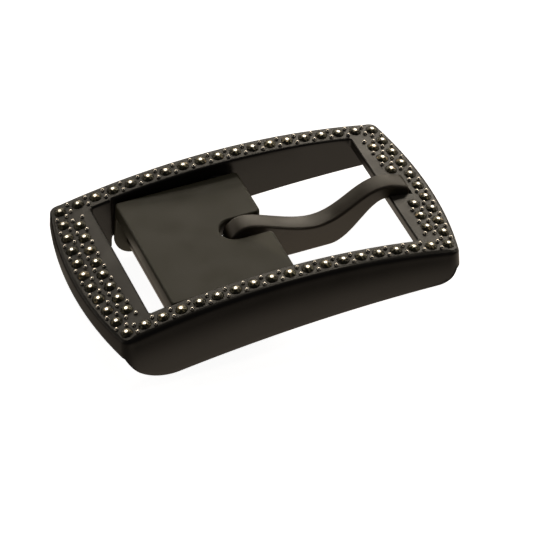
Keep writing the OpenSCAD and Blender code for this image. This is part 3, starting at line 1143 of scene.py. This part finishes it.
@dataclass
class StrapHousing:
    """The matt casting that holds the strap's end: a slotted top plate, two cheeks, a boss and a tab.

    Pivot, ear and foot are (x, z). The other parts start a hair inside the plate's faces, the tuck, so
    that no two faces lie in one plane when they are united.
    """

    finish: LacqueredCasting
    pivot: tuple[float, float]
    plate_top: float = 13.4
    plate_t: float = 3.6
    reach: float = 21.6
    nose: float = 4.8
    half_width: float = 16.2
    plate_edge: float = 0.45
    fine_edge: float = 0.25
    cheek_t: float = 1.0
    slot_w: float = 6.0
    slot_reach: float = 5.1
    ear: tuple[float, float] = (-19.5, 4.4)
    ear_r: float = 4.4
    foot: tuple[float, float] = (-13.4, 1.2)
    foot_r: float = 1.2
    boss_r: float = 2.6
    tab_half_w: float = 4.0
    tab_l: float = 3.0
    tuck: float = 0.02
    tab_z: tuple[float, float] = (-0.35, 0.8)

    def plate_outline(self) -> np.ndarray:
        """The top plate from above: a rectangle with small corners and a round-ended slot.

        Returns:
            Points (x, y), anticlockwise.
        """
        left, right = self.pivot[0] - self.reach, self.pivot[0] + self.nose
        slot_x = self.pivot[0] - self.slot_reach + self.slot_w / 2
        half_slot, lip = self.slot_w / 2, 1.0
        w, c = self.half_width, 0.8
        return np.concatenate([
            arc((left + c, -w + c), c, 180, 270, 4),
            arc((right - c, -w + c), c, -90, 0, 4),
            arc((right - lip, -half_slot - lip), lip, 0, 90, 5),
            arc((slot_x, 0), half_slot, 270, 90, 28),
            arc((right - lip, half_slot + lip), lip, -90, 0, 5),
            arc((right - c, w - c), c, 0, 90, 4),
            arc((left + c, w - c), c, 90, 180, 4),
        ])

    def cheek_outline(self) -> np.ndarray:
        """A cheek from the side: strap-end edge, round ear, straight foot and a rise to the boss.

        Returns:
            Points (x, z), anticlockwise.
        """
        left = self.pivot[0] - self.reach
        return np.concatenate([
            [[left + 0.15, self.plate_top - 1.5]],
            arc(self.ear, self.ear_r, 176, 270, 14),
            arc(self.foot, self.foot_r, 270, 318, 5),
            arc(self.pivot, self.boss_r, -62, 60, 12),
        ])

    def build(self) -> bpy.types.Object:
        """Makes the plate, the cheeks, the boss halves and the lip's tab, and unites them.

        Returns:
            The piece.
        """
        under = self.plate_top - self.plate_t
        plate = make_piece("strap_housing_casting", *rounded_prism(
            self.plate_outline(), under, self.plate_top, self.plate_edge
        ), crease=50)
        extras = []
        boss = arc(self.pivot, self.boss_r, 0, 350, 35)
        for side in (-1, 1):
            cheek_out, cheek_in = self.half_width - 2 * self.tuck, self.half_width - self.cheek_t
            cheek_y = sorted((side * cheek_out, side * cheek_in))
            points, faces = rounded_prism(self.cheek_outline(), *cheek_y, self.fine_edge, 3)
            extras.append(make_piece("cheek", across_belt(points), faces))
            boss_y = sorted((side * (self.slot_w / 2 + self.tuck), side * (self.half_width - 0.3)))
            points, faces = rounded_prism(boss, *boss_y, self.fine_edge, 3)
            extras.append(make_piece("boss", across_belt(points), faces))
        left = self.pivot[0] - self.reach
        near, far = left + self.tuck, left + self.tab_l
        foot, head = under + self.tab_z[0], under + self.tab_z[1]
        tab = np.array([[near, foot], [far, foot], [far, head], [near, head]])
        points, faces = rounded_prism(tab, -self.tab_half_w, self.tab_half_w, 0.2, 3)
        extras.append(make_piece("tab", across_belt(points), faces))
        unite(plate, extras)
        flat_planes(plate)
        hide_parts("strap_housing")
        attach(plate, Body.HOUSING.value)
        dress(plate, self.finish.material())
        return plate


# ---------------------------------------------------------------- tongue


@dataclass
class Tongue:
    """The heavy S-shaped prong: a round eye, a dip, a hump, a blunt tip and a deep belly."""

    finish: LacqueredCasting
    pivot: tuple[float, float]
    base: float = 12.4
    width: float = 4.25
    eye_r: float = 4.0
    edge_r: float = 0.5

    def outline(self) -> np.ndarray:
        """The prong from the side: an arc about the eye and cubic curves.

        Returns:
            Points (x, z), anticlockwise.
        """
        z = self.base
        eye = np.array(self.pivot)
        top = eye + self.eye_r * np.array([math.cos(math.radians(80)), math.sin(math.radians(80))])
        low = eye + self.eye_r * np.array([math.cos(math.radians(250)), math.sin(math.radians(250))])
        dip, hump = np.array([13.1, z - 2.4]), np.array([27.3, z + 3.2])
        tip_top, tip_low = np.array([32.7, z + 1.7]), np.array([33.0, z - 0.95])
        heel = np.array([28.2, z - 0.1])
        belly_end, belly_start = np.array([15.6, z - 8.3]), np.array([3.5, z - 8.3])
        shape = np.concatenate([
            arc(eye, self.eye_r, 250, 80, 30),
            bezier(top, top + [3.6, -0.64], dip - [4.4, 0], dip, 22),
            bezier(dip, dip + [6, 0], hump - [5.4, 0.3], hump, 26),
            bezier(hump, hump + [2.2, 0.1], tip_top + [-1.8, 0.7], tip_top, 8),
            bezier(tip_top, tip_top + [0.5, -0.2], tip_low + [0.3, 0.5], tip_low, 6),
            bezier(tip_low, tip_low + [-1.5, 0.3], heel + [1.6, -0.3], heel, 8),
            bezier(heel, heel + [-4, 0.7], belly_end + [5.2, -0.2], belly_end, 24),
            bezier(belly_end, belly_end - [4, 0], belly_start + [4, 0], belly_start, 8),
            bezier(belly_start, belly_start - [2, 0], low + [2, -0.7], low + [0.25, -0.09], 8),
        ])
        return shape[::-1]

    def build(self) -> bpy.types.Object:
        """Makes the prong as a plate of its side outline with rounded edges.

        Returns:
            The piece.
        """
        points, faces = rounded_prism(self.outline(), -self.width / 2, self.width / 2, self.edge_r, 5)
        prong = make_piece("tongue_prong", across_belt(points), faces, crease=50)
        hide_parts("tongue")
        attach(prong, Body.TONGUE.value)
        dress(prong, self.finish.material())
        return prong


# ---------------------------------------------------------------- hardware kept from the CAD


@dataclass
class Hardware:
    """The pins, washers and jaw, whose CAD shapes stay and get their finish."""

    pin: GroundSteel
    jaw: GroundSteel
    washer: MouldedNylon

    def dress_all(self) -> list[bpy.types.Object]:
        """Gives each CAD node its material.

        Returns:
            The nodes.
        """
        finishes = {
            "pivot_pin": self.pin.material(),
            "clamp_jaw": self.jaw.material(),
            "thrust_washers": self.washer.material(),
        }
        finishes["jaw_pin"] = finishes["pivot_pin"]
        for name, finish in finishes.items():
            dress(frame["nodes"][name], finish)
        return [frame["nodes"][name] for name in finishes]


# ---------------------------------------------------------------- studio


@dataclass
class Lamp:
    """A soft rectangular light: its direction from the object, metres, watts and its fall in radians."""

    name: str
    direction: tuple[float, float, float]
    distance: float
    size: tuple[float, float]
    power: float
    tint: str = "#ffffff"
    fall: float = 0.0

    def build(self, target: Vector) -> bpy.types.Object:
        """Hangs the light at its distance from the target, facing it, its long side falling to the right.

        Args:
            target: The point that it faces, in metres.

        Returns:
            The light.
        """
        data = bpy.data.lights.new(self.name, "AREA")
        data.shape = "RECTANGLE"
        data.size, data.size_y = self.size
        data.energy = self.power
        data.color = colour(self.tint)[:3]
        lamp = bpy.data.objects.new(self.name, data)
        way = Vector(self.direction).normalized()
        lamp.location = target + way * self.distance
        along = Vector((math.cos(self.fall), 0, -math.sin(self.fall)))
        along = (along - way * along.dot(way)).normalized()
        lamp.rotation_euler = Matrix((along, way.cross(along), way)).transposed().to_euler()
        bpy.context.scene.collection.objects.link(lamp)
        return lamp


@dataclass
class Studio:
    """Pale floor, white surround, soft lights and the camera.

    The floor's bounce on the object is a broken line over y, glow_by_y in (mm, strength), and sinks to
    left_share across left_fade, a stretch of x in mm.
    """

    azimuth: float = -22.21
    elevation: float = 42.12
    distance: float = 0.67909
    right_mm: float = 2.65
    up_mm: float = -7.817
    lens: float = 230.5
    face_h: float = 12.4
    floor_half: float = 3.0
    floor_gap_mm: float = 0.5
    floor_white: float = 0.93
    glow_by_y: tuple[tuple[int, float], ...] = (
        (-60, 0.1), (-38, 0.62), (0, 0.66), (16, 0.66), (24, 0.16), (40, 0.02)
    )
    left_fade: tuple[float, float] = (-46.0, -34.0)
    left_share: float = 0.25
    lamps: list[Lamp] = field(default_factory=list)

    def camera(self) -> bpy.types.Object:
        """Stands the camera: back along its axis from the face's middle, then a little right and down.

        Returns:
            The camera, which is also made the scene's.
        """
        az, el = math.radians(self.azimuth), math.radians(self.elevation)
        back = Vector((math.sin(az) * math.cos(el), -math.cos(az) * math.cos(el), math.sin(el)))
        right = Vector((0, 0, 1)).cross(back).normalized()
        up = back.cross(right)
        data = bpy.data.cameras.new("camera")
        data.lens = self.lens
        data.sensor_width = 36
        data.clip_start, data.clip_end = 0.02, 20
        camera = bpy.data.objects.new("camera", data)
        target = Vector((0, 0, self.face_h * MM))
        aside = right * self.right_mm * MM + up * self.up_mm * MM
        camera.location = target + back * self.distance + aside
        camera.rotation_euler = Matrix((right, up, back)).transposed().to_euler()
        bpy.context.scene.collection.objects.link(camera)
        bpy.context.scene.camera = camera
        return camera

    def floor(self) -> bpy.types.Object:
        """Lays a plain pale sheet, far larger than the view.

        The camera sees white paper. The object gets a warm bounce instead, strongest in front of and
        under it, so that the lacquered walls mirror a soft pool of light. From below the sheet is clear.

        Returns:
            The sheet.
        """
        half, z = self.floor_half, -self.floor_gap_mm * MM
        mesh = bpy.data.meshes.new("floor")
        corners = [(-half, -half, z), (half, -half, z), (half, half, z), (-half, half, z)]
        mesh.from_pydata(corners, [], [(0, 1, 2, 3)])
        sheet = bpy.data.objects.new("floor", mesh)
        bpy.context.scene.collection.objects.link(sheet)
        made, tree, surface = new_material("pale_paper")
        paper = add_node(tree, "ShaderNodeBsdfDiffuse", None, {"Color": colour("#f4f4f4")})
        place = add_node(tree, "ShaderNodeSeparateXYZ", links={
            "Vector": add_node(tree, "ShaderNodeTexCoord").outputs["Object"]
        })
        (first_y, first_level), *between, (last_y, last_level) = self.glow_by_y
        across = add_node(
            tree, "ShaderNodeMapRange", None, {"From Min": first_y * MM, "From Max": last_y * MM},
            {"Value": place.outputs["Y"]},
        )
        glow_ramp = add_node(tree, "ShaderNodeValToRGB", links={"Fac": across.outputs["Result"]})
        stops = glow_ramp.color_ramp.elements
        stops[0].color = (first_level, first_level, first_level, 1)
        stops[1].color = (last_level, last_level, last_level, 1)
        for y, level in between:
            stops.new((y - first_y) / (last_y - first_y)).color = (level, level, level, 1)
        fade_from, fade_to = self.left_fade
        along = add_node(
            tree, "ShaderNodeMapRange", {"interpolation_type": "SMOOTHSTEP"},
            {"From Min": fade_from * MM, "From Max": fade_to * MM, "To Min": self.left_share, "To Max": 1.0},
            {"Value": place.outputs["X"]},
        )
        strength = add_node(tree, "ShaderNodeMath", {"operation": "MULTIPLY"}, None, {
            0: glow_ramp.outputs["Color"], 1: along.outputs["Result"]
        })
        bounce = add_node(
            tree, "ShaderNodeEmission", None, {"Color": colour("#ffeed8")}, {"Strength": strength.outputs[0]}
        )
        white = add_node(tree, "ShaderNodeEmission", None, {"Strength": self.floor_white})
        ray = add_node(tree, "ShaderNodeLightPath").outputs["Is Camera Ray"]
        lit = add_node(tree, "ShaderNodeAddShader", None, None, {0: paper.outputs[0], 1: white.outputs[0]})
        both = add_node(
            tree, "ShaderNodeMixShader", None, None, {0: ray, 1: bounce.outputs[0], 2: lit.outputs[0]}
        )
        clear = add_node(tree, "ShaderNodeBsdfTransparent")
        side = add_node(tree, "ShaderNodeNewGeometry").outputs["Backfacing"]
        one_sided = add_node(
            tree, "ShaderNodeMixShader", None, None, {0: side, 1: both.outputs[0], 2: clear.outputs[0]}
        )
        tree.links.new(one_sided.outputs[0], surface)
        mesh.materials.append(made)
        return sheet

    def surround(self) -> None:
        """White to the camera, and a dim even glow on the object."""
        world = bpy.data.worlds.new("surround")
        world.use_nodes = True
        tree = world.node_tree
        tree.nodes.clear()
        seen = add_node(tree, "ShaderNodeBackground", None, {"Color": (1, 1, 1, 1), "Strength": 1.0})
        glow = add_node(tree, "ShaderNodeBackground", None, {"Color": colour("#dfe3ea"), "Strength": 0.05})
        ray = add_node(tree, "ShaderNodeLightPath").outputs["Is Camera Ray"]
        both = add_node(
            tree, "ShaderNodeMixShader", None, None, {0: ray, 1: glow.outputs[0], 2: seen.outputs[0]}
        )
        add_node(tree, "ShaderNodeOutputWorld", None, None, {"Surface": both.outputs[0]})
        bpy.context.scene.world = world
        bpy.context.scene.view_settings.view_transform = "Standard"

    def build(self) -> None:
        """Sets up everything that isn't part of the object."""
        self.camera()
        self.floor()
        self.surround()
        target = Vector((0, 0, self.face_h * MM))
        for lamp in self.lamps:
            lamp.build(target)


def studio_lamps() -> list[Lamp]:
    """The lights: low strips behind and beside, two strips along the arch's reflection, one small lamp.

    The pair follows the way the arch turns the view, so the stones' tables mirror it while the satin
    casting spreads it thin. The small lamp overhead gives beads and facets a spark.

    Returns:
        The lights, not built yet.
    """
    warm = "#fff3df"
    return [
        Lamp("low_strip_behind", (0.355, 0.870, 0.342), 0.9, (2.0, 0.16), 3.8, warm),
        Lamp("low_strip_left", (-0.87, 0.42, 0.24), 0.9, (1.1, 0.14), 0.8, warm),
        Lamp("low_strip_right", (0.95, -0.05, 0.3), 0.9, (1.1, 0.14), 1.2, warm),
        Lamp("table_strip_left", (0.052, 0.698, 0.714), 0.885, (0.46, 0.1), 0.75, warm, fall=0.14),
        Lamp("table_strip_right", (0.475, 0.69, 0.547), 0.896, (0.44, 0.1), 0.72, warm, fall=0.582),
        Lamp("sparkle", (0.34, 0.3, 0.89), 1.0, (0.17, 0.17), 0.9, warm),
    ]


def main() -> None:
    """Builds each sub-assembly in order and logs its pieces."""
    logging.basicConfig(level=logging.INFO, format="%(message)s")
    pivot_m = next(j for j in frame["joints"] if j["name"] == "tongue_pivot")["pos_m"]
    pivot = (pivot_m[0] / MM, pivot_m[2] / MM)
    low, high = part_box("frame")
    face = Face()
    black = LacqueredCasting("satin_black_lacquer", "#15120f", "#1c1815", "#3f3a33", ior=1.45)
    matt = LacqueredCasting(
        "matt_olive_lacquer", "#27261a", "#343222", "#4d4a3a", roughness=0.48, ior=1.4, blast_mm=0.2
    )
    # The prong's satin black is drawn lighter and warmer than the frame's: painted light standing in for its
    # lit top.
    lit_prong_black = LacqueredCasting("satin_black_prong_painted_light", "#332d24", "#3e372c", "#625a4c", roughness=0.38)
    length, width = (high.x - low.x) / MM, (high.y - low.y) / MM
    steps: list[tuple[str, Callable[[], object]]] = [
        ("frame", FrameCasting(face, black, PolishedBead(), length, width).build),
        ("stones", Rhinestones(face, SmokedCrystal()).build),
        ("housing", StrapHousing(matt, pivot).build),
        ("tongue", Tongue(lit_prong_black, pivot).build),
        ("hardware", Hardware(
            GroundSteel("ground_pin_steel", "#8d8b86", 0.3),
            GroundSteel("dark_jaw_steel", "#4d4b48", 0.38, lines_along=(1.0, 1.0, 1.0)),
            MouldedNylon(),
        ).dress_all),
        ("studio", Studio(lamps=studio_lamps()).build),
    ]
    for name, build in steps:
        made = build()
        made = made if isinstance(made, list) else [made]
        LOG.info("%s: %s", name, ", ".join(o.name for o in made if o is not None))


if __name__ == "__main__":
    main()
